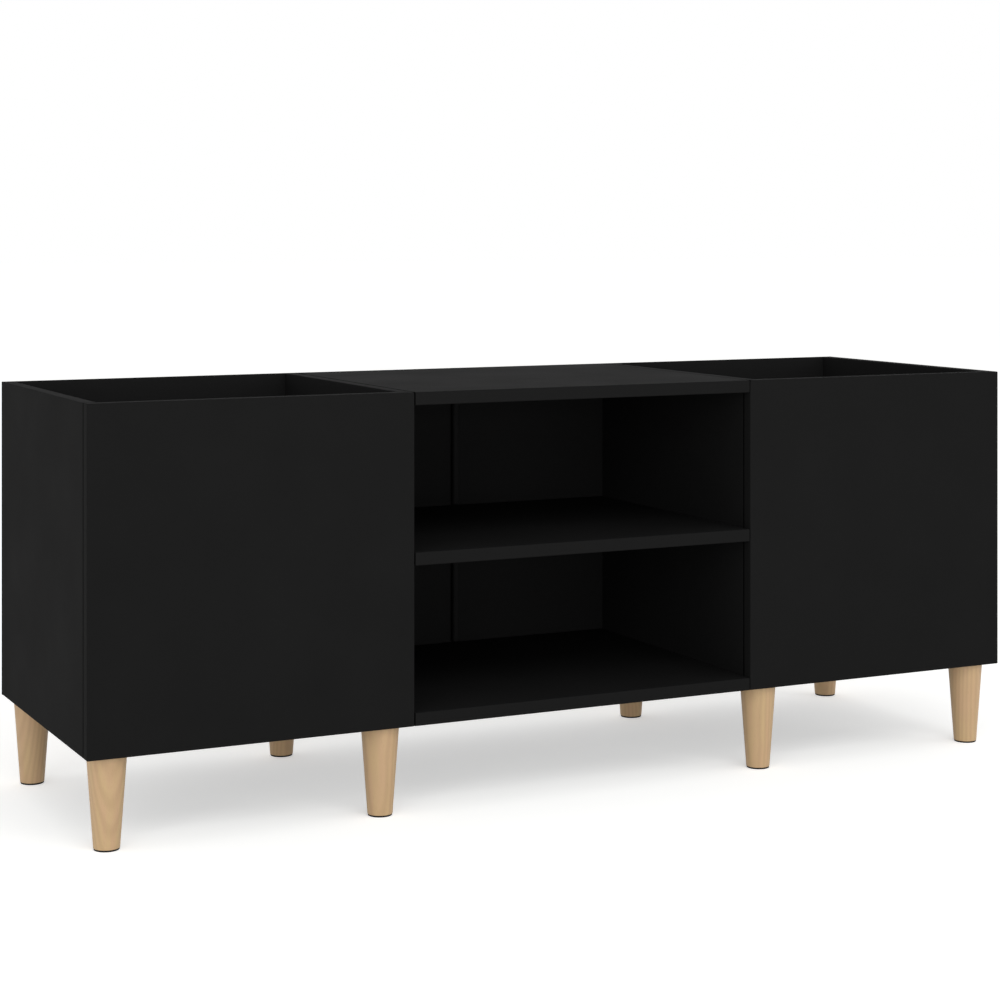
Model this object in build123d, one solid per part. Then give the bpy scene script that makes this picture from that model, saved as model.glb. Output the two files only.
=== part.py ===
from build123d import *

import os

# Record cabinet in melamine-faced chipboard: two open-topped record bins with a shelved
# niche between them, on eight turned wooden legs. It comes apart: cam fittings, dowels
# and hanger bolts hold it together, and two nailed hardboard sheets close the back.
#
# Frame: +X to the right as seen from the front, +Y to the back, +Z up. The origin is at
# the middle of the footprint, on the floor. All sizes are in millimetres.

os.makedirs("parts", exist_ok=True)

# ---------------------------------------------------------------- driving dimensions

bin_width = 380.0  # each record bin, outside
niche_width = 450.0  # clear width between the bins
body_height = 380.0  # without the legs
body_depth = 380.0  # from the front faces to the rear of the back panels

board = 15.0  # thickness of every chipboard panel
back_thickness = 3.0  # hardboard
record_floor_rise = 47.0  # clear height under a record floor

batten_width = 20.0  # the battens that carry a record floor
batten_height = 25.0

leg_height = 101.5
leg_top_diameter = 44.0
leg_foot_diameter = 29.0
leg_foot_chamfer = 0.5
leg_inset = 30.0  # leg axis in from the two nearest faces of its bin
glide_thickness = 2.0

hanger_bolt_diameter = 8.0
hanger_bolt_in_leg = 32.0
insert_diameter = 12.0  # threaded sleeve in the bin's bottom board
insert_cover = 3.0  # wood left above it

row_inset = 69.0  # rows of cam fittings, in from the carcass's front and back edges
cam_diameter = 15.0
cam_cover = 3.0  # wood left behind a cam
cam_recess = 0.3  # how far a cam's face lies below the board's face
cam_setback = 24.0  # cam axis in from the board's end
cam_bolt_diameter = 6.0
front_cam_drop = 60.0  # cams that hold a front panel, below the rim
blind_cover = 4.0  # wood left behind a bolt or dowel in a panel's face

dowel_diameter = 8.0
dowel_in_edge = 20.0
dowel_inset = 60.0  # dowels under a front panel, in from the bin's uprights

strip_width = 10.0  # H-shaped strip that joins the two back panels
strip_rib = 8.0  # depth of its inner flange, a rib that stiffens the back
strip_flange = 0.8  # depth of its rear flange
strip_web = 1.0

nail_diameter = 1.6
nail_length = 18.0
nail_head_diameter = 4.5
nail_head_height = 0.6
nail_inset = 30.0  # nails at the ends of an edge, in from the board's corner

fit = 0.1  # play between a fitting and its bore, on each side
notch_play = 0.5  # play round a board where it passes the strip's rib

# Fittings and their bores are many-sided, which keeps the count of facets down.
disc_sides = 12  # cams and inserts
pin_sides = 8  # bolts, dowels and nails

# ------------------------------------------------------------------ levels and planes

underside = glide_thickness + leg_height
rim = underside + body_height
shelf_bottom = (underside + rim - board) / 2  # the shelf halves the niche
record_floor_bottom = underside + board + record_floor_rise
record_floor_top = record_floor_bottom + board  # 303 below the rim; a sleeve is 315 high

outer_end = niche_width / 2 + bin_width
front = -(body_depth + strip_flange) / 2
carcass_front = front + board
carcass_back = front + body_depth - back_thickness
back_rear = carcass_back + back_thickness

sides = {"left": -1, "right": 1}
UP = Vector(0, 0, 1)
BACK = Vector(0, 1, 0)


def box(x_range, y_range, z_range):
    """A block between two planes along each axis, given in either order."""
    ranges = (x_range, y_range, z_range)
    size = [abs(b - a) for a, b in ranges]
    middle = [(a + b) / 2 for a, b in ranges]
    return Pos(*middle) * Box(*size)


def prism(start, direction, diameter, length, side_count, corner=None):
    """A many-sided pin or bore from a point along a direction, with a corner that way."""
    if corner is None:
        corner = Vector(1, 0, 0) if abs(direction.Z) > 0.5 else UP
    section = RegularPolygon(diameter / 2, side_count)
    return extrude(Plane(origin=start, x_dir=corner, z_dir=direction) * section, length)


# ------------------------------------------------------------------------- the boards

boards = {
    name: box(
        (-niche_width / 2, niche_width / 2),
        (front, carcass_back),
        (level, level + board),
    )
    for name, level in (
        ("niche_top", rim - board),
        ("niche_shelf", shelf_bottom),
        ("niche_bottom", underside),
    )
}


def record_bin(side, sign):
    """The boards of one bin: uprights, front panel, bottom, record floor and battens."""
    niche_face = sign * niche_width / 2
    partition_face = niche_face + sign * board
    end_face = sign * outer_end
    inner_face = end_face - sign * board
    depth = (carcass_front, carcass_back)
    height = (underside, rim)
    inside = (partition_face, inner_face)

    boards[f"outer_side_{side}"] = box((inner_face, end_face), depth, height)
    boards[f"partition_{side}"] = box((niche_face, partition_face), depth, height)
    boards[f"front_panel_{side}"] = box(
        (niche_face, end_face), (front, carcass_front), height
    )
    boards[f"bin_bottom_{side}"] = box(inside, depth, (underside, underside + board))
    boards[f"record_floor_{side}"] = box(
        inside, depth, (record_floor_bottom, record_floor_top)
    )
    for end, face, inwards in (
        ("inner", partition_face, sign),
        ("outer", inner_face, -sign),
    ):
        boards[f"floor_batten_{side}_{end}"] = box(
            (face, face + inwards * batten_width),
            depth,
            (record_floor_bottom - batten_height, record_floor_bottom),
        )


for side, sign in sides.items():
    record_bin(side, sign)

# -------------------------------------------------------------------- cams and dowels

fittings = {"cam_nuts": [], "cam_bolts": [], "wooden_dowels": []}


def bore(name, start, direction, diameter, length, side_count=pin_sides, corner=None):
    """Drills a board, with the play that the fitting needs all round."""
    drill = prism(start, direction, diameter + 2 * fit, length, side_count, corner)
    boards[name] = boards[name] - drill


def cam_nut(seat_face, opening, towards_end):
    """A cam: a disc with the slot that takes the bolt's end. Its face looks along opening."""
    height = board - cam_cover - cam_recess
    slot_width = cam_bolt_diameter + 2 * fit
    disc = RegularPolygon(cam_diameter / 2, disc_sides)
    pocket = RegularPolygon(slot_width / 2, pin_sides)
    slot = Pos(cam_diameter / 2, 0) * Rectangle(cam_diameter, slot_width)
    face = seat_face - opening * cam_recess
    plane = Plane(origin=face, x_dir=towards_end, z_dir=-opening)
    return extrude(plane * (disc - pocket - slot), height)


def cam_seat(host, point, into_host, opening):
    """Bores a board's end for a cam and the end of its bolt, and puts the cam in."""
    seat_face = point + into_host * cam_setback + opening * board / 2
    depth = board - cam_cover
    bore(host, seat_face, -opening, cam_diameter, depth, disc_sides, -into_host)
    bore(host, point, into_host, cam_bolt_diameter, cam_setback)
    fittings["cam_nuts"].append(cam_nut(seat_face, opening, -into_host))


def cam_joint(host, mate, point, into_host, opening):
    """Pulls the end of one board against the face of another.

    point lies in the joint, at half the host's thickness. into_host runs along the bolt
    into the host, and opening is the way that the cam's face looks.
    """
    cam_seat(host, point, into_host, opening)
    in_mate = board - blind_cover
    bore(mate, point, -into_host, cam_bolt_diameter, in_mate)
    fittings["cam_bolts"].append(
        prism(
            point - into_host * in_mate,
            into_host,
            cam_bolt_diameter,
            in_mate + cam_setback,
            pin_sides,
        )
    )


def dowel_joint(edge_board, face_board, point, into_edge):
    """A beech dowel between the edge of one board and the face of another."""
    in_face = board - blind_cover
    bore(edge_board, point, into_edge, dowel_diameter, dowel_in_edge)
    bore(face_board, point, -into_edge, dowel_diameter, in_face)
    fittings["wooden_dowels"].append(
        prism(
            point - into_edge * in_face,
            into_edge,
            dowel_diameter,
            in_face + dowel_in_edge,
            pin_sides,
        )
    )


def join_niche_boards(side, sign, y):
    """Cams under the ends of the niche's boards and of the bin's bottom, in one row."""
    partition = f"partition_{side}"
    bin_bottom = f"bin_bottom_{side}"
    outwards = Vector(sign, 0, 0)
    niche_face = sign * niche_width / 2
    partition_face = niche_face + sign * board
    inner_face = sign * (outer_end - board)

    for name, level in (("niche_top", rim - board), ("niche_shelf", shelf_bottom)):
        point = Vector(niche_face, y, level + board / 2)
        cam_joint(name, partition, point, -outwards, -UP)

    # One double-ended bolt passes through the partition to the two bottom boards.
    level = underside + board / 2
    point = Vector(niche_face, y, level)
    cam_seat("niche_bottom", point, -outwards, -UP)
    cam_seat(bin_bottom, Vector(partition_face, y, level), outwards, -UP)
    bore(partition, point, outwards, cam_bolt_diameter, board)
    fittings["cam_bolts"].append(
        prism(
            point - outwards * cam_setback,
            outwards,
            cam_bolt_diameter,
            board + 2 * cam_setback,
            pin_sides,
        )
    )
    point = Vector(inner_face, y, level)
    cam_joint(bin_bottom, f"outer_side_{side}", point, -outwards, -UP)


def join_front_panel(side, sign):
    """Holds a front panel by a cam and a dowel in each upright, and by two dowels below."""
    front_panel = f"front_panel_{side}"
    niche_face = sign * niche_width / 2
    cam_level = rim - front_cam_drop
    dowel_level = (record_floor_top + cam_level) / 2
    for upright, x, inwards in (
        (f"partition_{side}", niche_face + sign * board / 2, sign),
        (f"outer_side_{side}", sign * (outer_end - board / 2), -sign),
    ):
        opening = Vector(inwards, 0, 0)
        point = Vector(x, carcass_front, cam_level)
        cam_joint(upright, front_panel, point, BACK, opening)
        point = Vector(x, carcass_front, dowel_level)
        dowel_joint(upright, front_panel, point, BACK)
    for x in (
        niche_face + sign * (board + dowel_inset),
        sign * (outer_end - board - dowel_inset),
    ):
        point = Vector(x, carcass_front, underside + board / 2)
        dowel_joint(f"bin_bottom_{side}", front_panel, point, BACK)


for side, sign in sides.items():
    for y in (carcass_front + row_inset, carcass_back - row_inset):
        join_niche_boards(side, sign, y)
    join_front_panel(side, sign)

# --------------------------------------------------------------------- legs and glides


def leg():
    """A turned, tapered leg that stands on z = 0, bored at the top for its hanger bolt."""
    foot = leg_foot_diameter / 2
    outline = Polyline(
        (0, 0),
        (foot - leg_foot_chamfer, 0),
        (foot, leg_foot_chamfer),
        (leg_top_diameter / 2, leg_height),
        (0, leg_height),
        close=True,
    )
    turned = revolve(Plane.XZ * make_face(outline), Axis.Z)
    mouth = Vector(0, 0, leg_height)
    diameter = hanger_bolt_diameter + 2 * fit
    return turned - prism(mouth, -UP, diameter, hanger_bolt_in_leg, pin_sides)


def insert(top_of_leg):
    """The threaded sleeve that a hanger bolt screws into."""
    length = board - insert_cover
    sleeve = prism(top_of_leg, UP, insert_diameter, length, disc_sides)
    thread = hanger_bolt_diameter + 2 * fit
    return sleeve - prism(top_of_leg, UP, thread, length, pin_sides)


legs = {"front_legs": [], "rear_legs": []}
leg_hardware = {"leg_glides": [], "leg_hanger_bolts": [], "leg_inserts": []}
glide_radius = leg_foot_diameter / 2 - leg_foot_chamfer


def fit_leg(row, bin_bottom, x, y):
    """One leg under a bin, with its glide, hanger bolt and insert."""
    top = Vector(x, y, underside)
    in_board = board - insert_cover
    legs[row].append(Pos(x, y, glide_thickness) * leg())
    glide = Cylinder(glide_radius, glide_thickness)
    leg_hardware["leg_glides"].append(Pos(x, y, glide_thickness / 2) * glide)
    leg_hardware["leg_hanger_bolts"].append(
        prism(
            top - UP * hanger_bolt_in_leg,
            UP,
            hanger_bolt_diameter,
            hanger_bolt_in_leg + in_board,
            pin_sides,
        )
    )
    leg_hardware["leg_inserts"].append(insert(top))
    bore(bin_bottom, top, UP, insert_diameter, in_board, disc_sides)


for side, sign in sides.items():
    for x in (outer_end - leg_inset, niche_width / 2 + leg_inset):
        fit_leg("front_legs", f"bin_bottom_{side}", sign * x, front + leg_inset)
        fit_leg("rear_legs", f"bin_bottom_{side}", sign * x, back_rear - leg_inset)

# ------------------------------------------------------------------------ back panels

web_half = strip_web / 2

for side, sign in sides.items():
    boards[f"back_panel_{side}"] = box(
        (sign * (web_half + fit), sign * outer_end),
        (carcass_back, back_rear),
        (underside, rim),
    )

# The strip's rib is notched where the three niche boards meet the back.
flange = (-strip_width / 2, strip_width / 2)
rib = (carcass_back - strip_rib, carcass_back)
strip = box(flange, rib, (underside, rim))
for level in (underside, shelf_bottom, rim - board):
    strip -= box(flange, rib, (level - notch_play, level + board + notch_play))
strip += box((-web_half, web_half), (carcass_back, back_rear), (underside, rim))
strip += box(flange, (back_rear, back_rear + strip_flange), (underside, rim))

nails = []


def nail(back_panel, edge_board, x, z):
    """Nails a back panel to the rear edge of a board."""
    seat = Vector(x, back_rear, z)
    shank = prism(seat, -BACK, nail_diameter, nail_length, pin_sides)
    head = prism(seat, BACK, nail_head_diameter, nail_head_height, pin_sides)
    nails.append(head + shank)
    bore(back_panel, seat, -BACK, nail_diameter, back_thickness)
    bore(edge_board, seat, -BACK, nail_diameter, nail_length)


for side, sign in sides.items():
    back_panel = f"back_panel_{side}"
    for edge_board, x in (
        (f"outer_side_{side}", sign * (outer_end - board / 2)),
        (f"partition_{side}", sign * (niche_width + board) / 2),
    ):
        for z in (underside + board + nail_inset, rim - nail_inset):
            nail(back_panel, edge_board, x, z)
    nail(
        back_panel,
        f"bin_bottom_{side}",
        sign * (niche_width + bin_width) / 2,
        underside + board / 2,
    )
    for edge_board, level in (
        ("niche_top", rim - board),
        ("niche_shelf", shelf_bottom),
        ("niche_bottom", underside),
    ):
        nail(back_panel, edge_board, sign * niche_width / 4, level + board / 2)

# ----------------------------------------------------------------------------- export


def write(name, shapes):
    """Writes one node: a single solid, or a group of like solids."""
    if not isinstance(shapes, list):
        shapes = [shapes]
    solids = [shape.solid() for shape in shapes]
    whole = Compound(children=solids) if len(solids) > 1 else solids[0]
    export_step(whole, f"parts/{name}.step")


for name, shapes in {**boards, **fittings, **legs, **leg_hardware}.items():
    write(name, shapes)
write("back_joining_strip", strip)
write("back_panel_nails", nails)
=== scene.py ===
import math

import bmesh
import bpy
import numpy as np
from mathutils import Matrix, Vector


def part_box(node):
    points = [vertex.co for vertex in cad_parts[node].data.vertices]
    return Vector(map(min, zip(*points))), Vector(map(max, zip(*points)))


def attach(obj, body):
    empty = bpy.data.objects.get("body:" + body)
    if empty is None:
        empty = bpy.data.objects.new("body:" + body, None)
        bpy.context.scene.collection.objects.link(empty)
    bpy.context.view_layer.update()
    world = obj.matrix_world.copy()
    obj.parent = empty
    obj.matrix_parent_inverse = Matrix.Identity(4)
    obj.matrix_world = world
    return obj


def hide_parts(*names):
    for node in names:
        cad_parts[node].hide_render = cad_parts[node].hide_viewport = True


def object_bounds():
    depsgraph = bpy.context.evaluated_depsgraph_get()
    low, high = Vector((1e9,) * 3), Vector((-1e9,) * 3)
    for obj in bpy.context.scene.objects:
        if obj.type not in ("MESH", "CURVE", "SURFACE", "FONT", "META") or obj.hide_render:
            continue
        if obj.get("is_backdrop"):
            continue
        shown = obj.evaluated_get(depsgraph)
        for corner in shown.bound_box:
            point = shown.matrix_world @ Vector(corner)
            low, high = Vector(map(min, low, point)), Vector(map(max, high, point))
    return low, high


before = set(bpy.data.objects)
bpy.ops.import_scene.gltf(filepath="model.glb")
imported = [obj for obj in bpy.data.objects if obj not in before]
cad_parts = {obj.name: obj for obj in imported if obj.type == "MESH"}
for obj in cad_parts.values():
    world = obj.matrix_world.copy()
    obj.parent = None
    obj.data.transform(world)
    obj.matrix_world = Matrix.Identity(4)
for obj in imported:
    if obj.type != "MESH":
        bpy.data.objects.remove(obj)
cad_low, cad_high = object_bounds()

# ------------------------------------------------------------------------------ camera
# A level camera in front of the cabinet and to its left, a little above the rim. The
# picture is shifted down instead of the camera being tilted, so upright edges stay upright.

camera_lens = bpy.data.cameras.new("camera")
camera_lens.sensor_width = 36.0
camera_lens.lens = 79.67
camera_lens.shift_y = -0.2708
camera = bpy.data.objects.new("camera", camera_lens)
camera.location = (-1.2455, -2.4910, 0.6687)
camera.rotation_euler = (math.radians(90), 0, math.radians(-26.13))
bpy.context.scene.collection.objects.link(camera)
bpy.context.scene.camera = camera

# ------------------------------------------------------------------ uprights of the bins
# Two outer sides and two partitions of 15 mm chipboard between black melamine papers, cut
# square and banded in black ABS. Each has a cam seat bored in its bin side, under the rim,
# for the cam that pulls the front panel against its edge.

BAND_RADIUS = 0.0012
SEAM_REACH = 0.0001  # boards closer than this meet in a seam
FLAT_LEAN = 0.001  # a face that leans less than this is one of a board's flat sides
MERGE_REACH = 0.000001  # points closer than this are one point
CAM_RADIUS = 0.0075
CAM_SIDES = 48
CAM_SEAT_PLAY = 0.0002
CAM_SEAT_DEPTH = 0.012
CAM_SETBACK = 0.024
FRONT_CAM_DROP = 0.060


def linear(hex_colour):
    """The linear RGBA of an sRGB colour written as six hex digits.

    Each channel goes up with the power 2.4, after a short straight start in the blacks.
    """
    srgb = np.array([int(hex_colour[i : i + 2], 16) / 255 for i in (0, 2, 4)])
    rgb = np.where(srgb <= 0.04045, srgb / 12.92, ((srgb + 0.055) / 1.055) ** 2.4)
    return (*rgb.tolist(), 1.0)


def add(tree, kind, inputs=None, **settings):
    """Adds a node, sets its properties, and fills or links the inputs that are named."""
    node = tree.nodes.new(kind)
    for name, value in settings.items():
        setattr(node, name, value)
    for socket, value in (inputs or {}).items():
        if isinstance(value, bpy.types.NodeSocket):
            tree.links.new(value, node.inputs[socket])
        else:
            node.inputs[socket].default_value = value
    return node


def new_material(name, **uniform):
    """A material, its node tree and its shader, with uniform values set on the shader."""
    material = bpy.data.materials.new(name)
    material.use_nodes = True
    shader = material.node_tree.nodes["Principled BSDF"]
    for socket, value in uniform.items():
        shader.inputs[socket.replace("_", " ")].default_value = value
    return material, material.node_tree, shader


def melamine_face():
    """Black melamine paper, pressed on under a plate with a fine pearl grain.

    The plate leaves grains about 0.7 mm across and under 0.1 mm deep, which spread the
    light and keep the black matt. The clouds are the paper's uneven take-up of resin.
    """
    material, tree, shader = new_material("melamine_pearl_black", Specular_IOR_Level=0.022)
    grain_width = 0.0007
    cloud_width = 0.09
    place = add(tree, "ShaderNodeTexCoord").outputs["Object"]
    grain = add(
        tree,
        "ShaderNodeTexNoise",
        {"Vector": place, "Scale": 1 / grain_width, "Detail": 2.0, "Roughness": 0.6},
    ).outputs["Fac"]
    clouds = add(
        tree,
        "ShaderNodeTexNoise",
        {"Vector": place, "Scale": 1 / cloud_width, "Detail": 3.0, "Roughness": 0.55},
    ).outputs["Fac"]
    tone = add(
        tree, "ShaderNodeMath", {0: clouds, 1: 0.3, 2: grain}, operation="MULTIPLY_ADD"
    ).outputs[0]
    shade = add(
        tree, "ShaderNodeMapRange", {"Value": tone, "From Min": 0.45, "From Max": 0.85}
    ).outputs[0]
    colour = add(
        tree,
        "ShaderNodeMix",
        {"Factor": shade, "A": linear("151515"), "B": linear("1c1c1c")},
        data_type="RGBA",
    )
    tree.links.new(colour.outputs["Result"], shader.inputs["Base Color"])
    polish = add(
        tree,
        "ShaderNodeMapRange",
        {"Value": clouds, "From Min": 0.3, "From Max": 0.7, "To Min": 0.75, "To Max": 0.85},
    )
    tree.links.new(polish.outputs[0], shader.inputs["Roughness"])
    relief = add(
        tree, "ShaderNodeBump", {"Height": grain, "Distance": 0.00008, "Strength": 0.6}
    )
    tree.links.new(relief.outputs[0], shader.inputs["Normal"])
    return material


def edge_band():
    """Black ABS band, extruded, glued on hot and buffed: as matt as the faces, but finer.

    The buffing leaves faint marks of light and shade, about 0.6 mm apart and much
    shallower than the grain of the faces.
    """
    material, tree, shader = new_material("abs_edge_band_black", Specular_IOR_Level=0.022)
    mark_width = 0.0006
    place = add(tree, "ShaderNodeTexCoord").outputs["Object"]
    marks = add(
        tree,
        "ShaderNodeTexNoise",
        {"Vector": place, "Scale": 1 / mark_width, "Detail": 1.0},
    ).outputs["Fac"]
    colour = add(
        tree,
        "ShaderNodeMix",
        {"Factor": marks, "A": linear("171717"), "B": linear("1a1a1a")},
        data_type="RGBA",
    )
    tree.links.new(colour.outputs["Result"], shader.inputs["Base Color"])
    polish = add(
        tree, "ShaderNodeMapRange", {"Value": marks, "To Min": 0.75, "To Max": 0.85}
    )
    tree.links.new(polish.outputs[0], shader.inputs["Roughness"])
    relief = add(
        tree, "ShaderNodeBump", {"Height": marks, "Distance": 0.00002, "Strength": 0.3}
    )
    tree.links.new(relief.outputs[0], shader.inputs["Normal"])
    return material


def painted_seam_shade():
    """The buffed corner of a board in a seam, coloured near black as painted shade.

    It stands for the shadow that falls in the groove between the two boards, and makes a
    hairline darker than their faces.
    """
    material, tree, shader = new_material(
        "painted_seam_shade_black", Specular_IOR_Level=0.0, Roughness=0.9
    )
    blotch_width = 0.003
    place = add(tree, "ShaderNodeTexCoord").outputs["Object"]
    blotches = add(
        tree, "ShaderNodeTexNoise", {"Vector": place, "Scale": 1 / blotch_width}
    ).outputs["Fac"]
    colour = add(
        tree,
        "ShaderNodeMix",
        {"Factor": blotches, "A": linear("020202"), "B": linear("060606")},
        data_type="RGBA",
    )
    tree.links.new(colour.outputs["Result"], shader.inputs["Base Color"])
    return material


def raw_chipboard():
    """Chipboard as the drill leaves it: pressed spruce chips, pale, rough and torn."""
    material, tree, shader = new_material(
        "raw_chipboard", Roughness=0.9, Specular_IOR_Level=0.3
    )
    chip_width = 0.0022
    place = add(tree, "ShaderNodeTexCoord").outputs["Object"]
    chips = add(
        tree, "ShaderNodeTexVoronoi", {"Vector": place, "Scale": 1 / chip_width}
    )
    shade = add(
        tree, "ShaderNodeSeparateColor", {"Color": chips.outputs["Color"]}
    ).outputs[0]
    colour = add(
        tree,
        "ShaderNodeMix",
        {"Factor": shade, "A": linear("8d6b45"), "B": linear("cdb083")},
        data_type="RGBA",
    )
    tree.links.new(colour.outputs["Result"], shader.inputs["Base Color"])
    relief = add(
        tree,
        "ShaderNodeBump",
        {"Height": chips.outputs["Distance"], "Distance": 0.0004, "Strength": 0.6},
    )
    tree.links.new(relief.outputs[0], shader.inputs["Normal"])
    return material


def grid_faces(rows, columns):
    """Quads of a grid of points, row by row, whose last column joins the first."""
    row, column = np.meshgrid(np.arange(rows - 1), np.arange(columns), indexing="ij")
    right = (column + 1) % columns
    low, high = row * columns, (row + 1) * columns
    quads = np.stack([low + column, low + right, high + right, high + column], -1)
    return quads.reshape(-1, 4).tolist()


def quarter_turn(steps):
    """Angles from nought to a quarter of a turn, in even steps."""
    return np.linspace(0, np.pi / 2, steps + 1)


def rounded_block(low, high, radius, steps=4):
    """Points and faces of a block with rounded edges.

    A direction on the sphere picks one of the block's eight corners, drawn in by the
    radius. The point is that corner plus the radius times the direction. The radius is a
    number, or a pair: one for the upright edges towards +Y and one for those towards -Y.
    """
    low, high = np.array(low), np.array(high)
    rear, front = np.broadcast_to(radius, 2)
    radius = np.repeat([rear, rear, front, front], steps + 1)[:, None]
    quarter = quarter_turn(steps)
    around = np.concatenate([quarter + k * np.pi / 2 for k in range(4)])
    rise = np.concatenate([quarter - np.pi / 2, quarter])
    rise, around = np.meshgrid(rise, around, indexing="ij")
    direction = np.stack(
        [np.cos(rise) * np.cos(around), np.cos(rise) * np.sin(around), np.sin(rise)], -1
    )
    rows, columns = rise.shape
    quadrant = np.arange(columns) // (steps + 1)
    sign = np.empty_like(direction)
    sign[..., 0] = np.where((quadrant == 0) | (quadrant == 3), 1, -1)
    sign[..., 1] = np.where(quadrant < 2, 1, -1)
    sign[..., 2] = np.where(np.arange(rows) <= steps, -1, 1)[:, None]
    points = (low + high) / 2 + sign * ((high - low) / 2 - radius) + radius * direction
    corners = np.arange(4) * (steps + 1)
    bottom = corners[::-1].tolist()
    top = (corners + (rows - 1) * columns).tolist()
    return points.reshape(-1, 3), grid_faces(rows, columns) + [bottom, top]


def turned(profile, sides):
    """Points and faces of a closed form turned about Z from (radius, height) pairs.

    At each angle, x and y are the radius times the angle's cosine and sine.
    """
    profile = np.array(profile)
    angle = np.linspace(0, 2 * np.pi, sides, endpoint=False)
    radius, height = profile[:, :1], profile[:, 1:]
    points = np.stack(
        [radius * np.cos(angle), radius * np.sin(angle), height + 0 * angle], -1
    )
    return points.reshape(-1, 3), grid_faces(len(profile), sides)


def copies(points, faces, places):
    """One set of points and faces with a copy at each (position, axis) pair.

    The form's +Z is turned to the axis. Its +X is turned up where the axis is level, and
    stays +X where the axis is upright.
    """
    moved = []
    for position, axis in places:
        axis = np.array(axis, float)
        upright = abs(axis[2]) > 0.5
        across = np.array([1.0, 0, 0] if upright else [0.0, 0, 1])
        turn = np.stack([across, np.cross(axis, across), axis], 1)
        moved.append(points @ turn.T + np.array(position))
    joined = [[v + k * len(points) for v in f] for k in range(len(places)) for f in faces]
    return np.concatenate(moved), joined


def make_piece(name, points, faces, materials):
    """A mesh object at the origin, with its doubles merged and its faces outwards."""
    mesh = bpy.data.meshes.new(name)
    mesh.from_pydata(np.asarray(points).tolist(), [], faces)
    for material in materials:
        mesh.materials.append(material)
    work = bmesh.new()
    work.from_mesh(mesh)
    bmesh.ops.remove_doubles(work, verts=work.verts, dist=MERGE_REACH)
    bmesh.ops.recalc_face_normals(work, faces=work.faces)
    work.to_mesh(mesh)
    work.free()
    piece = bpy.data.objects.new(name, mesh)
    bpy.context.scene.collection.objects.link(piece)
    return piece


def normals_of(piece):
    """The outward direction of each face, one row per face."""
    normals = np.empty(len(piece.data.polygons) * 3)
    piece.data.polygons.foreach_get("normal", normals)
    return normals.reshape(-1, 3)


def combine(piece, other, operation):
    """Cuts the other form out of the piece or joins it on. Its faces keep their finish."""
    modifier = piece.modifiers.new("combine", "BOOLEAN")
    modifier.object = other
    modifier.operation = operation
    modifier.solver = "EXACT"
    modifier.material_mode = "INDEX"
    graph = bpy.context.evaluated_depsgraph_get()
    mesh = bpy.data.meshes.new_from_object(piece.evaluated_get(graph))
    piece.modifiers.clear()
    piece.data = mesh
    bpy.data.objects.remove(other)


def put_on(piece, slot, *nodes):
    """Rides a piece on the cabinet in place of the nodes it shows. The slot is not used."""
    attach(piece, "root")
    if nodes:
        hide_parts(*nodes)


# The third finish is painted shade: near black, for the rounded edges where boards meet.
board_finish = [melamine_face(), edge_band(), painted_seam_shade(), raw_chipboard()]
FACE, BAND, SEAM_SHADE, CHIPS = range(4)
boards = ["niche_top", "niche_shelf", "niche_bottom"]
for name in ("outer_side", "partition", "front_panel", "bin_bottom", "record_floor"):
    boards += [f"{name}_left", f"{name}_right"]
all_cams = []


def in_seam(name, points):
    """Whether each point on a board's sharp edges lies on or in another board's box."""
    found = np.zeros(len(points), bool)
    for other in boards:
        if other != name:
            low, high = np.array(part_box(other))
            inside = (points > low - SEAM_REACH) & (points < high + SEAM_REACH)
            found |= inside.all(1)
    return found


def make_board(name, cams=()):
    """A board over its node's box: faces, bands, painted shade on its rounded edges in seams,
    and cam seats.

    A rounded edge is a seam where the sharp edge that it replaces meets other boards, both
    a quarter and three quarters of the way along. A seat is bored at each cam's place.
    """
    low, high = np.array(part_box(name))
    points, faces = rounded_block(low, high, BAND_RADIUS)
    board = make_piece(f"{name}_board", points, faces, board_finish)
    normals = normals_of(board)
    thin = int(np.argmin(high - low))
    seam = np.abs(normals).max(1) < 1 - FLAT_LEAN
    for share in (0.25, 0.75):
        along = low + share * (high - low)
        corner = np.where(normals > 0, high, low)
        seam &= in_seam(name, np.where(np.abs(normals) > FLAT_LEAN, corner, along))
    # Rounded edges in seams get the painted seam shade, and the other rounded edges get the
    # band.
    slots = np.select([np.abs(normals[:, thin]) > 1 - FLAT_LEAN, seam], [FACE, SEAM_SHADE], BAND)
    board.data.polygons.foreach_set("material_index", slots)
    if cams:
        radius = CAM_RADIUS + CAM_SEAT_PLAY
        outside = CAM_RADIUS  # the cutter stands out of the board by this much
        bore = [(0, -CAM_SEAT_DEPTH), (radius, -CAM_SEAT_DEPTH), (radius, outside), (0, outside)]
        cutter = make_piece("cutter", *copies(*turned(bore, CAM_SIDES), cams), board_finish)
        chips = np.full(len(cutter.data.polygons), CHIPS)
        cutter.data.polygons.foreach_set("material_index", chips)
        combine(board, cutter, "DIFFERENCE")
        all_cams.extend(cams)
    put_on(board, "black_melamine_board", name)


for side, inwards in (("left", 1), ("right", -1)):
    for upright, bin_side in ((f"outer_side_{side}", inwards), (f"partition_{side}", -inwards)):
        low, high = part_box(upright)
        face = (high if bin_side > 0 else low)[0]
        seat = (face, low[1] + CAM_SETBACK, high[2] - FRONT_CAM_DROP)
        make_board(upright, [(seat, (bin_side, 0, 0))])

# ---------------------------------------------------------------------- panels and boards
# The two front panels cover the uprights' edges and the niche's boards lie between them,
# with their front edges flush. Cams under the ends of the niche's boards and of the bins'
# bottoms pull them tight, and the record floors lie loose on their battens.

ROW_INSET = 0.069

carcass_front, carcass_back = (corner[1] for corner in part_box("outer_side_left"))
cam_rows = (carcass_front + ROW_INSET, carcass_back - ROW_INSET)

for name in ("niche_top", "niche_shelf", "niche_bottom", "bin_bottom_left", "bin_bottom_right"):
    low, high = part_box(name)
    ends = (low[0] + CAM_SETBACK, high[0] - CAM_SETBACK)
    make_board(name, [((x, y, low[2]), (0, 0, -1)) for x in ends for y in cam_rows])

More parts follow.
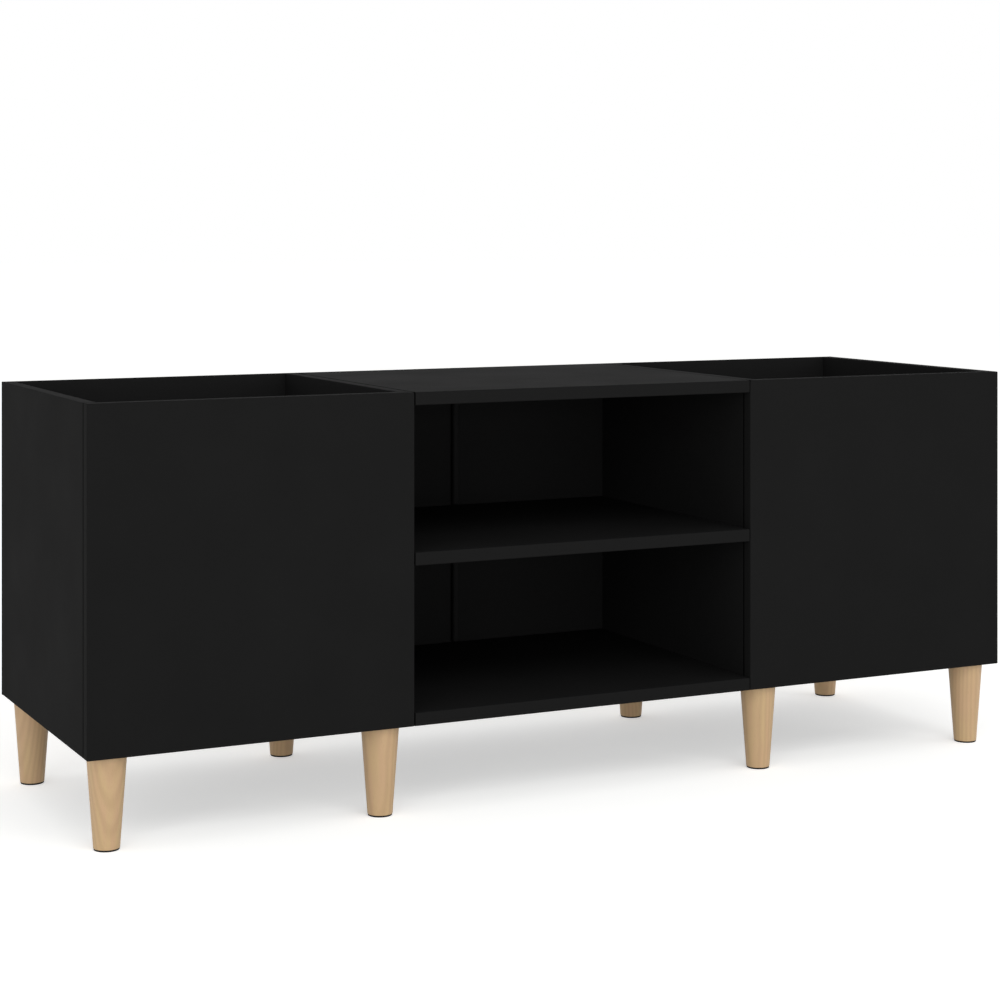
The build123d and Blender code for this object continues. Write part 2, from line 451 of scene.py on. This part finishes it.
for side in ("left", "right"):
    make_board(f"front_panel_{side}")
    make_board(f"record_floor_{side}")

# --------------------------------------------------------------------------------- cams
# Die-cast zinc cams, turned half round with a screwdriver to draw the bolts in. Each lies
# a hair below the board's face, with a rounded rim and a cross slot.

CAM_RECESS = 0.0003
CAM_RIM = 0.0005
SLOT_HALF_WIDTH = 0.0009
SLOT_HALF_LENGTH = 0.0036
SLOT_CORNER = SLOT_HALF_WIDTH / 3
SLOT_DEPTH = 0.003


def die_cast_zinc():
    """Zinc alloy as cast and tumbled: a grey metal with a fine sandy skin."""
    material, tree, shader = new_material("zinc_die_cast", Metallic=1.0)
    sand_width = 0.0004
    place = add(tree, "ShaderNodeTexCoord").outputs["Object"]
    sand = add(
        tree, "ShaderNodeTexNoise", {"Vector": place, "Scale": 1 / sand_width}
    ).outputs["Fac"]
    colour = add(
        tree,
        "ShaderNodeMix",
        {"Factor": sand, "A": linear("8f9295"), "B": linear("b4b7b9")},
        data_type="RGBA",
    )
    tree.links.new(colour.outputs["Result"], shader.inputs["Base Color"])
    polish = add(
        tree, "ShaderNodeMapRange", {"Value": sand, "To Min": 0.35, "To Max": 0.55}
    )
    tree.links.new(polish.outputs[0], shader.inputs["Roughness"])
    relief = add(
        tree, "ShaderNodeBump", {"Height": sand, "Distance": 0.00005, "Strength": 0.5}
    )
    tree.links.new(relief.outputs[0], shader.inputs["Normal"])
    return material


zinc = die_cast_zinc()

# The rim is a quarter circle from the cam's side to its face.
rim = [
    (
        CAM_RADIUS - CAM_RIM * (1 - math.cos(angle)),
        -CAM_RECESS - CAM_RIM * (1 - math.sin(angle)),
    )
    for angle in quarter_turn(steps=4)
]
cam_profile = [(0, -CAM_SEAT_DEPTH), (CAM_RADIUS, -CAM_SEAT_DEPTH), *rim, (0, -CAM_RECESS)]
cam = make_piece("cam", *turned(cam_profile, CAM_SIDES), [zinc])
for along, across in (
    (SLOT_HALF_LENGTH, SLOT_HALF_WIDTH),
    (SLOT_HALF_WIDTH, SLOT_HALF_LENGTH),
):
    slot_low, slot_high = (-along, -across, -SLOT_DEPTH), (along, across, CAM_RIM)
    slot = rounded_block(slot_low, slot_high, SLOT_CORNER, steps=2)
    combine(cam, make_piece("cutter", *slot, [zinc]), "DIFFERENCE")
cam_points = np.empty(len(cam.data.vertices) * 3)
cam.data.vertices.foreach_get("co", cam_points)
cam_faces = [list(face.vertices) for face in cam.data.polygons]
bpy.data.objects.remove(cam)

cams = copies(cam_points.reshape(-1, 3), cam_faces, all_cams)
put_on(make_piece("cam_nuts_cast", *cams, [zinc]), "zinc_plated_steel", "cam_nuts")

# ------------------------------------------------------------------------------ battens
# Two planed spruce battens under each record floor, glued to the uprights and closed in
# between the floor and the bottom board. They keep the shape of their nodes.


def wave_scale(spacing):
    """The scale that puts a wave texture's bands this far apart.

    At scale 1 the wave turns through 20 radians a metre, and a band takes a full turn.
    """
    return 2 * np.pi / (20 * spacing)


def planed_spruce():
    """Planed spruce: pale earlywood with narrow, darker latewood bands along it."""
    material, tree, shader = new_material("planed_spruce", Roughness=0.65)
    ring_width = 0.004
    place = add(tree, "ShaderNodeTexCoord").outputs["Object"]
    rings = add(
        tree,
        "ShaderNodeTexWave",
        {
            "Vector": place,
            "Scale": wave_scale(ring_width),
            "Distortion": 3.0,
            "Detail": 2.0,
            "Detail Scale": 0.3,
        },
        wave_type="RINGS",
        rings_direction="Y",
        wave_profile="SAW",
    ).outputs["Fac"]
    colour = add(
        tree,
        "ShaderNodeMix",
        {"Factor": rings, "A": linear("dfc293"), "B": linear("c19a63")},
        data_type="RGBA",
    )
    tree.links.new(colour.outputs["Result"], shader.inputs["Base Color"])
    return material


def dress_node(name, material):
    """Gives a CAD node that keeps its own shape a finish, in each of its slots."""
    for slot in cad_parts[name].material_slots:
        slot.material = material


spruce = planed_spruce()
for side in ("left", "right"):
    for end in ("inner", "outer"):
        dress_node(f"floor_batten_{side}_{end}", spruce)

# -------------------------------------------------------------------------- back panels
# Two sheets of 3 mm hardboard close the back. Their front is lacquered black. The rear is
# left as it was pressed, brown, with the print of the screen that drained the fibre.

BACK_EDGE_RADIUS = 0.0003


def lacquered_hardboard():
    """Black lacquer rolled onto hardboard: smooth and matt, with a faint orange peel."""
    material, tree, shader = new_material(
        "hardboard_black_lacquer", Specular_IOR_Level=0.015
    )
    peel_width = 0.002
    place = add(tree, "ShaderNodeTexCoord").outputs["Object"]
    peel = add(
        tree,
        "ShaderNodeTexNoise",
        {"Vector": place, "Scale": 1 / peel_width, "Detail": 2.0},
    ).outputs["Fac"]
    colour = add(
        tree,
        "ShaderNodeMix",
        {"Factor": peel, "A": linear("1a1a1a"), "B": linear("202020")},
        data_type="RGBA",
    )
    tree.links.new(colour.outputs["Result"], shader.inputs["Base Color"])
    polish = add(
        tree, "ShaderNodeMapRange", {"Value": peel, "To Min": 0.6, "To Max": 0.75}
    )
    tree.links.new(polish.outputs[0], shader.inputs["Roughness"])
    relief = add(
        tree, "ShaderNodeBump", {"Height": peel, "Distance": 0.00005, "Strength": 0.3}
    )
    tree.links.new(relief.outputs[0], shader.inputs["Normal"])
    return material


def screen_side_hardboard():
    """The rear of hardboard: brown fibre printed with the weave of its screen.

    The screen's wires lie 1.6 mm apart both ways and leave small square pits, darker than
    the fibre between them. Longer fibres show as pale and dark flecks.
    """
    material, tree, shader = new_material(
        "hardboard_screen_side", Roughness=0.85, Specular_IOR_Level=0.2
    )
    wire_pitch = 0.0016
    fibre_width = 0.003
    place = add(tree, "ShaderNodeTexCoord").outputs["Object"]
    wires = [
        add(
            tree,
            "ShaderNodeTexWave",
            {"Vector": place, "Scale": wave_scale(wire_pitch), "Distortion": 0.6},
            bands_direction=direction,
        ).outputs["Fac"]
        for direction in ("X", "Z")
    ]
    pits = add(
        tree, "ShaderNodeMath", {0: wires[0], 1: wires[1]}, operation="MULTIPLY"
    ).outputs[0]
    fibres = add(
        tree,
        "ShaderNodeTexNoise",
        {"Vector": place, "Scale": 1 / fibre_width, "Detail": 5.0, "Roughness": 0.75},
    ).outputs["Fac"]
    tone = add(
        tree, "ShaderNodeMath", {0: pits, 1: -0.3, 2: fibres}, operation="MULTIPLY_ADD"
    ).outputs[0]
    shade = add(
        tree, "ShaderNodeMapRange", {"Value": tone, "From Min": 0.15, "From Max": 0.75}
    ).outputs[0]
    colour = add(
        tree,
        "ShaderNodeMix",
        {"Factor": shade, "A": linear("4f3a26"), "B": linear("8a6a48")},
        data_type="RGBA",
    )
    tree.links.new(colour.outputs["Result"], shader.inputs["Base Color"])
    relief = add(
        tree,
        "ShaderNodeBump",
        {"Height": pits, "Distance": 0.0002, "Strength": 0.6},
        invert=True,
    )
    tree.links.new(relief.outputs[0], shader.inputs["Normal"])
    return material


def hardboard_edge():
    """The sawn edge of hardboard, sealed with black stain, which soaks in unevenly."""
    material, tree, shader = new_material(
        "hardboard_sawn_edge", Roughness=0.95, Specular_IOR_Level=0.0
    )
    fibre_width = 0.0008
    place = add(tree, "ShaderNodeTexCoord").outputs["Object"]
    fibres = add(
        tree, "ShaderNodeTexNoise", {"Vector": place, "Scale": 1 / fibre_width}
    ).outputs["Fac"]
    colour = add(
        tree,
        "ShaderNodeMix",
        {"Factor": fibres, "A": linear("070706"), "B": linear("100f0e")},
        data_type="RGBA",
    )
    tree.links.new(colour.outputs["Result"], shader.inputs["Base Color"])
    return material


back_finish = [lacquered_hardboard(), screen_side_hardboard(), hardboard_edge()]
LACQUER, SCREEN, SAWN = range(3)
for side in ("left", "right"):
    name = f"back_panel_{side}"
    sheet = rounded_block(*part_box(name), BACK_EDGE_RADIUS, steps=2)
    sheet = make_piece(f"{name}_hardboard", *sheet, back_finish)
    rearwards = normals_of(sheet)[:, 1]
    flat = 1 - FLAT_LEAN
    slots = np.select([rearwards < -flat, rearwards > flat], [LACQUER, SCREEN], SAWN)
    sheet.data.polygons.foreach_set("material_index", slots)
    put_on(sheet, "black_hardboard", name)

# ------------------------------------------------------------------------ joining strip
# A strip of extruded black PVC grips the two sheets where they meet behind the niche, with
# a thin flange behind them and a web between them. Its inner side is a rounded rib that
# stiffens the back, cut out where the niche's boards pass.

STRIP_RADIUS = 0.0003
WEB_THICKNESS = 0.001
RIB_DEPTH = 0.008
RIB_RADIUS = 0.0035
NOTCH_PLAY = 0.0005


def extruded_pvc():
    """Black PVC, extruded: smooth and matt, with faint draw lines along the strip."""
    material, tree, shader = new_material("pvc_extruded_black", Specular_IOR_Level=0.015)
    line_width = 0.0005
    stretch = 40
    place = add(tree, "ShaderNodeTexCoord").outputs["Object"]
    drawn = add(
        tree, "ShaderNodeMapping", {"Vector": place, "Scale": (1, 1, 1 / stretch)}
    ).outputs[0]
    lines = add(
        tree, "ShaderNodeTexNoise", {"Vector": drawn, "Scale": 1 / line_width}
    ).outputs["Fac"]
    colour = add(
        tree,
        "ShaderNodeMix",
        {"Factor": lines, "A": linear("1d1d1d"), "B": linear("232323")},
        data_type="RGBA",
    )
    tree.links.new(colour.outputs["Result"], shader.inputs["Base Color"])
    polish = add(
        tree, "ShaderNodeMapRange", {"Value": lines, "To Min": 0.5, "To Max": 0.65}
    )
    tree.links.new(polish.outputs[0], shader.inputs["Roughness"])
    return material


strip_low, strip_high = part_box("back_joining_strip")
back_front, back_rear = (corner[1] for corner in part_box("back_panel_left"))
levels = [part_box(name) for name in ("niche_bottom", "niche_shelf", "niche_top")]
flange = rounded_block((strip_low[0], back_rear, strip_low[2]), strip_high, STRIP_RADIUS)
pvc = extruded_pvc()
strip = make_piece("back_joining_strip_pvc", *flange, [pvc])
web_low = (-WEB_THICKNESS / 2, back_front - STRIP_RADIUS, strip_low[2] + STRIP_RADIUS)
web_high = (WEB_THICKNESS / 2, back_rear + STRIP_RADIUS, strip_high[2] - STRIP_RADIUS)
strip_blocks = [rounded_block(web_low, web_high, STRIP_RADIUS)]
for below, above in zip(levels, levels[1:]):
    rib_low = (strip_low[0], back_front - RIB_DEPTH, below[1][2] + NOTCH_PLAY)
    rib_high = (strip_high[0], back_front, above[0][2] - NOTCH_PLAY)
    strip_blocks.append(rounded_block(rib_low, rib_high, (STRIP_RADIUS, RIB_RADIUS)))
for block in strip_blocks:
    combine(strip, make_piece("block", *block, [pvc]), "UNION")
put_on(strip, "black_plastic_strip", "back_joining_strip")

# -------------------------------------------------------------------------------- nails
# Sixteen zinc-plated wire nails hold the sheets to the rear edges of the boards: two in
# each upright and in each board of the niche, and one in each bin's bottom. Their heads
# are a little domed.

NAIL_HEAD_RADIUS = 0.00225
NAIL_HEAD_HEIGHT = 0.0006
NAIL_SHANK_RADIUS = 0.0008
NAIL_LENGTH = 0.018
NAIL_SIDES = 24
NAIL_INSET = 0.030


def plated_steel(name, dark, light):
    """Steel with a bright zinc skin: a cool metal, cloudy where the plating is thin."""
    material, tree, shader = new_material(name, Metallic=1.0)
    cloud_width = 0.003
    place = add(tree, "ShaderNodeTexCoord").outputs["Object"]
    clouds = add(
        tree,
        "ShaderNodeTexNoise",
        {"Vector": place, "Scale": 1 / cloud_width, "Detail": 4.0},
    ).outputs["Fac"]
    colour = add(
        tree,
        "ShaderNodeMix",
        {"Factor": clouds, "A": linear(dark), "B": linear(light)},
        data_type="RGBA",
    )
    tree.links.new(colour.outputs["Result"], shader.inputs["Base Color"])
    polish = add(
        tree, "ShaderNodeMapRange", {"Value": clouds, "To Min": 0.25, "To Max": 0.45}
    )
    tree.links.new(polish.outputs[0], shader.inputs["Roughness"])
    return material


def middle(name, axis):
    """The middle of a node's box along an axis."""
    low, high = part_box(name)
    return (low[axis] + high[axis]) / 2


# On each side there are two nails in each upright and one in the bin's bottom, and one in
# each board of the niche, a quarter of its length from its end.
nail_spots = []
for side in ("left", "right"):
    bin_bottom = f"bin_bottom_{side}"
    bottom_level, rim_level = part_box(bin_bottom)[1][2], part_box(f"outer_side_{side}")[1][2]
    for upright in (f"outer_side_{side}", f"partition_{side}"):
        for z in (bottom_level + NAIL_INSET, rim_level - NAIL_INSET):
            nail_spots.append((middle(upright, 0), z))
    bin_middle = middle(f"front_panel_{side}", 0)
    nail_spots.append((bin_middle, middle(bin_bottom, 2)))
    quarter = math.copysign(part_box("niche_top")[1][0] / 2, bin_middle)
    for board in ("niche_top", "niche_shelf", "niche_bottom"):
        nail_spots.append((quarter, middle(board, 2)))

# The shank and its point, as long as the shank is thick, then the head's rim and dome.
nail_dome = [(1, 0), (1, 0.5), (0.9, 0.8), (0.5, 1), (0, 1)]
nail_profile = [
    (0, -NAIL_LENGTH),
    (NAIL_SHANK_RADIUS, -NAIL_LENGTH + 2 * NAIL_SHANK_RADIUS),
    (NAIL_SHANK_RADIUS, 0),
    *((NAIL_HEAD_RADIUS * across, NAIL_HEAD_HEIGHT * up) for across, up in nail_dome),
]
nail_places = [((x, back_rear, z), (0, 1, 0)) for x, z in nail_spots]
nails = copies(*turned(nail_profile, NAIL_SIDES), nail_places)
nail_steel = plated_steel("nail_steel", "6f7173", "a3a5a7")
put_on(make_piece("nails_steel", *nails, [nail_steel]), "nail_steel", "back_panel_nails")

# --------------------------------------------------------------------------------- legs
# Eight legs turned from light beech, tapered, with an eased foot and clear matt lacquer.
# Each is screwed up tight under a bin on its hanger bolt.

LEG_INSET = 0.030
LEG_TOP_RADIUS = 0.022
LEG_FOOT_RADIUS = 0.0145
LEG_FOOT_EASE = 0.0005
LEG_TOP_EASE = 0.0004
LEG_SIDES = 96
PITH_DISTANCE = 0.085  # from the middle of the leg to the middle of the growth rings
BLANK_SEED = 12
BLANK_REACH = 5.0  # blanks are cut anywhere along this length of tree
BLANK_LEAN = 0.08  # the most that a blank leans from the rings, as a slope
BLANK_TONE = 0.03  # the most that a blank is lighter or darker, as a share


def lacquered_beech():
    """Light beech, turned and sanded, under clear matt lacquer.

    Growth rings 5 mm apart run up the leg as soft stripes and open into flames where the
    taper cuts them at a slant. Broad streaks lean to pink or to yellow, and short fine
    flecks are the beech's rays. Each leg is cut from its own blank, with its own tone.
    """
    material, tree, shader = new_material("turned_beech_clear_lacquer", IOR=1.5)
    ring_width = 0.005
    streak_width = 0.008
    stripe_width = 0.0016
    fleck_width = 0.0006
    blank = add(tree, "ShaderNodeAttribute", attribute_name="blank").outputs["Vector"]
    tone = add(tree, "ShaderNodeAttribute", attribute_name="tone").outputs["Fac"]
    from_pith = add(
        tree, "ShaderNodeMapping", {"Vector": blank, "Location": (PITH_DISTANCE, 0, 0)}
    ).outputs[0]
    rings = add(
        tree,
        "ShaderNodeTexWave",
        {
            "Vector": from_pith,
            "Scale": wave_scale(ring_width),
            "Distortion": 2.5,
            "Detail": 2.0,
            "Detail Scale": 0.25,
            "Detail Roughness": 0.45,
        },
        wave_type="RINGS",
        rings_direction="Z",
    ).outputs["Fac"]
    along = {
        width: add(
            tree,
            "ShaderNodeTexNoise",
            {
                "Vector": add(
                    tree,
                    "ShaderNodeMapping",
                    {"Vector": blank, "Scale": (1, 1, 1 / stretch)},
                ).outputs[0],
                "Scale": 1 / width,
                "Detail": detail,
                "Roughness": 0.55,
            },
        ).outputs["Fac"]
        for width, stretch, detail in (
            (streak_width, 12, 1.0),
            (stripe_width, 30, 2.0),
            (fleck_width, 10, 1.0),
        )
    }
    hue = add(
        tree,
        "ShaderNodeMapRange",
        {"Value": along[streak_width], "From Min": 0.35, "From Max": 0.65},
    ).outputs[0]
    ground = add(
        tree,
        "ShaderNodeMix",
        {"Factor": hue, "A": linear("bb9a76"), "B": linear("bb9e75")},
        data_type="RGBA",
    ).outputs["Result"]
    grain = add(
        tree,
        "ShaderNodeMath",
        {0: along[stripe_width], 1: 0.6, 2: rings},
        operation="MULTIPLY_ADD",
    ).outputs[0]
    late = add(
        tree,
        "ShaderNodeMapRange",
        {"Value": grain, "From Min": 0.45, "From Max": 1.3, "To Max": 0.42},
    ).outputs[0]
    ringed = add(
        tree,
        "ShaderNodeMix",
        {"Factor": late, "A": ground, "B": linear("a98b67")},
        data_type="RGBA",
    ).outputs["Result"]
    rays = add(
        tree,
        "ShaderNodeMapRange",
        {
            "Value": along[fleck_width],
            "From Min": 0.62,
            "From Max": 0.8,
            "To Max": 0.25,
        },
    ).outputs[0]
    flecked = add(
        tree,
        "ShaderNodeMix",
        {"Factor": rays, "A": ringed, "B": linear("8d6a48")},
        data_type="RGBA",
    ).outputs["Result"]
    toned = add(
        tree, "ShaderNodeHueSaturation", {"Color": flecked, "Value": tone}
    ).outputs[0]
    tree.links.new(toned, shader.inputs["Base Color"])
    polish = add(
        tree,
        "ShaderNodeMapRange",
        {"Value": along[stripe_width], "To Min": 0.45, "To Max": 0.6},
    )
    tree.links.new(polish.outputs[0], shader.inputs["Roughness"])
    relief = add(
        tree,
        "ShaderNodeBump",
        {"Height": along[fleck_width], "Distance": 0.00004, "Strength": 0.4},
    )
    tree.links.new(relief.outputs[0], shader.inputs["Normal"])
    return material


def leg_profile(foot, top):
    """(radius, height) pairs up the leg: an eased foot, a straight taper, a bevelled top.

    The foot's edge is a quarter circle in eight steps from the sole to the taper, where
    the radius grows evenly with the height in 23 steps.
    """
    turn = quarter_turn(steps=8)
    ease = np.stack(
        [
            LEG_FOOT_RADIUS - LEG_FOOT_EASE * (1 - np.sin(turn)),
            foot + LEG_FOOT_EASE * (1 - np.cos(turn)),
        ],
        -1,
    )
    share = np.linspace(0, 1, 24)[1:]
    start, end = foot + LEG_FOOT_EASE, top - LEG_TOP_EASE
    taper = np.stack(
        [
            LEG_FOOT_RADIUS + (LEG_TOP_RADIUS - LEG_FOOT_RADIUS) * share,
            start + (end - start) * share,
        ],
        -1,
    )
    rim = [(LEG_TOP_RADIUS - LEG_TOP_EASE, top), (0, top)]
    return np.concatenate([[(0, foot)], ease, taper, rim])


def store(piece, name, kind, field, values):
    """Stores a value at each point of a mesh, for its material to read."""
    attribute = piece.data.attributes.new(name, kind, "POINT")
    attribute.data.foreach_set(field, np.ascontiguousarray(values, np.float32).ravel())


foot_level, underside = (corner[2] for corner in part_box("front_legs"))
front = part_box("front_panel_left")[0][1]
leg_rows = {"front_legs": front + LEG_INSET, "rear_legs": back_rear - LEG_INSET}
leg_columns = [
    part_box(f"front_panel_{side}")[end][0] + inwards * LEG_INSET
    for side in ("left", "right")
    for end, inwards in ((0, 1), (1, -1))
]
beech = lacquered_beech()
blanks = np.random.default_rng(BLANK_SEED)
leg_points, leg_faces = turned(leg_profile(foot_level, underside), LEG_SIDES)

# Each leg is turned about its length and leant against the rings of its own blank. The
# material reads a point's place in the blank, and the blank's tone.
for row, y in leg_rows.items():
    for number, x in enumerate(leg_columns, 1):
        place = np.array([x, y, 0])
        leg = make_piece(f"{row[:-1]}_{number}", leg_points + place, leg_faces, [beech])
        leg.data.shade_smooth()
        own = np.empty(len(leg.data.vertices) * 3)
        leg.data.vertices.foreach_get("co", own)
        own = own.reshape(-1, 3) - place
        angle = blanks.uniform(0, 2 * np.pi)
        lean = blanks.uniform(-BLANK_LEAN, BLANK_LEAN)
        turn = np.array(
            [
                [math.cos(angle), -math.sin(angle), lean],
                [math.sin(angle), math.cos(angle), 0],
                [0, 0, 1],
            ]
        )
        blank = own @ turn.T + np.array([0, 0, blanks.uniform(0, BLANK_REACH)])
        store(leg, "blank", "FLOAT_VECTOR", "vector", blank)
        tone = blanks.uniform(1 - BLANK_TONE, 1 + BLANK_TONE)
        store(leg, "tone", "FLOAT", "value", np.full(len(own), tone))
        put_on(leg, "leg_wood", row)

# ------------------------------------------------------------------------------- glides
# Thin glides of black polyethylene, moulded and stuck under the legs. They keep the wood
# off the floor and show as a dark line under each foot.

GLIDE_RADIUS = 0.014
GLIDE_EDGE = 0.0005
GLIDE_SIDES = 64


def moulded_polyethylene():
    """Black polyethylene as moulded: dull and waxy, with a light spark-eroded grain."""
    material, tree, shader = new_material(
        "polyethylene_moulded_black", Specular_IOR_Level=0.1
    )
    grain_width = 0.0005
    place = add(tree, "ShaderNodeTexCoord").outputs["Object"]
    grain = add(
        tree, "ShaderNodeTexNoise", {"Vector": place, "Scale": 1 / grain_width}
    ).outputs["Fac"]
    colour = add(
        tree,
        "ShaderNodeMix",
        {"Factor": grain, "A": linear("0e0e0e"), "B": linear("161616")},
        data_type="RGBA",
    )
    tree.links.new(colour.outputs["Result"], shader.inputs["Base Color"])
    polish = add(
        tree, "ShaderNodeMapRange", {"Value": grain, "To Min": 0.5, "To Max": 0.65}
    )
    tree.links.new(polish.outputs[0], shader.inputs["Roughness"])
    relief = add(
        tree, "ShaderNodeBump", {"Height": grain, "Distance": 0.00004, "Strength": 0.5}
    )
    tree.links.new(relief.outputs[0], shader.inputs["Normal"])
    return material


# The edge is a quarter circle from the glide's sole to its side.
glide_edge = [
    (
        GLIDE_RADIUS - GLIDE_EDGE * (1 - math.sin(angle)),
        GLIDE_EDGE * (1 - math.cos(angle)),
    )
    for angle in quarter_turn(steps=6)
]
glide_profile = [(0, 0), *glide_edge, (GLIDE_RADIUS, foot_level), (0, foot_level)]
glide_places = [((x, y, 0), (0, 0, 1)) for y in leg_rows.values() for x in leg_columns]
glides = copies(*turned(glide_profile, GLIDE_SIDES), glide_places)
glides = make_piece("leg_glides_moulded", *glides, [moulded_polyethylene()])
put_on(glides, "glide_plastic", "leg_glides")

# ---------------------------------------------------------------------- hidden hardware
# Bolts, inserts and dowels that the boards and legs close in. They keep the shape of
# their nodes, in zinc-plated steel and raw beech.


def raw_beech():
    """Beech dowel rod: pale pink-brown with short dark flecks along the grain."""
    material, tree, shader = new_material("raw_beech_dowel", Roughness=0.75)
    fleck_width = 0.0006
    stretch = 10
    place = add(tree, "ShaderNodeTexCoord").outputs["Object"]
    drawn = add(
        tree, "ShaderNodeMapping", {"Vector": place, "Scale": (1, 1 / stretch, 1)}
    ).outputs[0]
    flecks = add(
        tree,
        "ShaderNodeTexNoise",
        {"Vector": drawn, "Scale": 1 / fleck_width, "Detail": 2.0},
    ).outputs["Fac"]
    colour = add(
        tree,
        "ShaderNodeMix",
        {"Factor": flecks, "A": linear("d9b48c"), "B": linear("b98f66")},
        data_type="RGBA",
    )
    tree.links.new(colour.outputs["Result"], shader.inputs["Base Color"])
    return material


bright_zinc = plated_steel("zinc_plating_bright", "a9adb0", "d0d3d5")
for name in ("cam_bolts", "leg_hanger_bolts", "leg_inserts"):
    dress_node(name, bright_zinc)
dress_node("wooden_dowels", raw_beech())

# ---------------------------------------------------------------------- floor and light
# A plain pale floor that runs out of sight under an even white sky, with soft boxes to
# the front, the left and the right. Seen directly, sky and open floor are white, and the
# floor keeps the cabinet's shadow.

FLOOR_SIZE = 80.0
FLOOR_DROP = 0.00002  # keeps the floor clear of the glides' soles
FLOOR_GLOW = 0.47
SKY_STRENGTH = 0.62


def seen_directly(tree):
    """1 for camera, glossy and transmitted rays, and 0 for light that strikes the object."""
    rays = add(tree, "ShaderNodeLightPath").outputs
    mirrored = add(
        tree,
        "ShaderNodeMath",
        {0: rays["Is Camera Ray"], 1: rays["Is Glossy Ray"]},
        operation="MAXIMUM",
    ).outputs[0]
    return add(
        tree,
        "ShaderNodeMath",
        {0: mirrored, 1: rays["Is Transmission Ray"]},
        operation="MAXIMUM",
    ).outputs[0]


half = FLOOR_SIZE / 2
corners = [(-half, -half), (half, -half), (half, half), (-half, half)]
floor_mesh = bpy.data.meshes.new("floor")
floor_mesh.from_pydata([(x, y, -FLOOR_DROP) for x, y in corners], [], [(0, 1, 2, 3)])
floor = bpy.data.objects.new("floor", floor_mesh)
bpy.context.scene.collection.objects.link(floor)
paint, tree, shader = new_material(
    "floor_pale",
    Base_Color=linear("f0f0ee"),
    Roughness=1.0,
    Specular_IOR_Level=0.0,
    Emission_Color=linear("ffffff"),
)
glow = add(
    tree, "ShaderNodeMath", {0: seen_directly(tree), 1: FLOOR_GLOW}, operation="MULTIPLY"
)
tree.links.new(glow.outputs[0], shader.inputs["Emission Strength"])
floor_mesh.materials.append(paint)
floor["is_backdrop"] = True

world = bpy.data.worlds.new("studio")
bpy.context.scene.world = world
world.use_nodes = True
tree = world.node_tree
strength = add(
    tree,
    "ShaderNodeMapRange",
    {"Value": seen_directly(tree), "To Min": SKY_STRENGTH, "To Max": 1.0},
)
sky = tree.nodes["Background"]
sky.inputs["Color"].default_value = linear("ffffff")
tree.links.new(strength.outputs[0], sky.inputs["Strength"])


def soft_box(name, place, size, watts):
    """A rectangular lamp of the given width and height, turned to the cabinet's middle."""
    data = bpy.data.lights.new(name, "AREA")
    data.shape = "RECTANGLE"
    data.size, data.size_y = size
    data.energy = watts
    box = bpy.data.objects.new(name, data)
    box.location = place
    aim = (Vector(cad_low) + Vector(cad_high)) / 2 - Vector(place)
    box.rotation_euler = aim.to_track_quat("-Z", "Y").to_euler()
    bpy.context.scene.collection.objects.link(box)


soft_box("front_box", place=(0.3, -5.0, 0.6), size=(4.0, 1.2), watts=42)
soft_box("high_front_box", place=(0.0, -3.2, 3.2), size=(3.0, 1.5), watts=36)
soft_box("front_left_box", place=(-3.5, -3.5, 1.2), size=(2.5, 2.0), watts=55)
soft_box("left_box", place=(-4.5, 0.3, 0.6), size=(2.5, 1.2), watts=18)
soft_box("right_box", place=(4.0, -2.5, 1.5), size=(2.5, 2.0), watts=28)

bpy.context.scene.view_settings.view_transform = "Standard"

# ------------------------------------------------------------------------------- finish
# The box of the cabinet as dressed is measured in metres, as the box of the constructed one was
# after the import.

low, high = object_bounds()
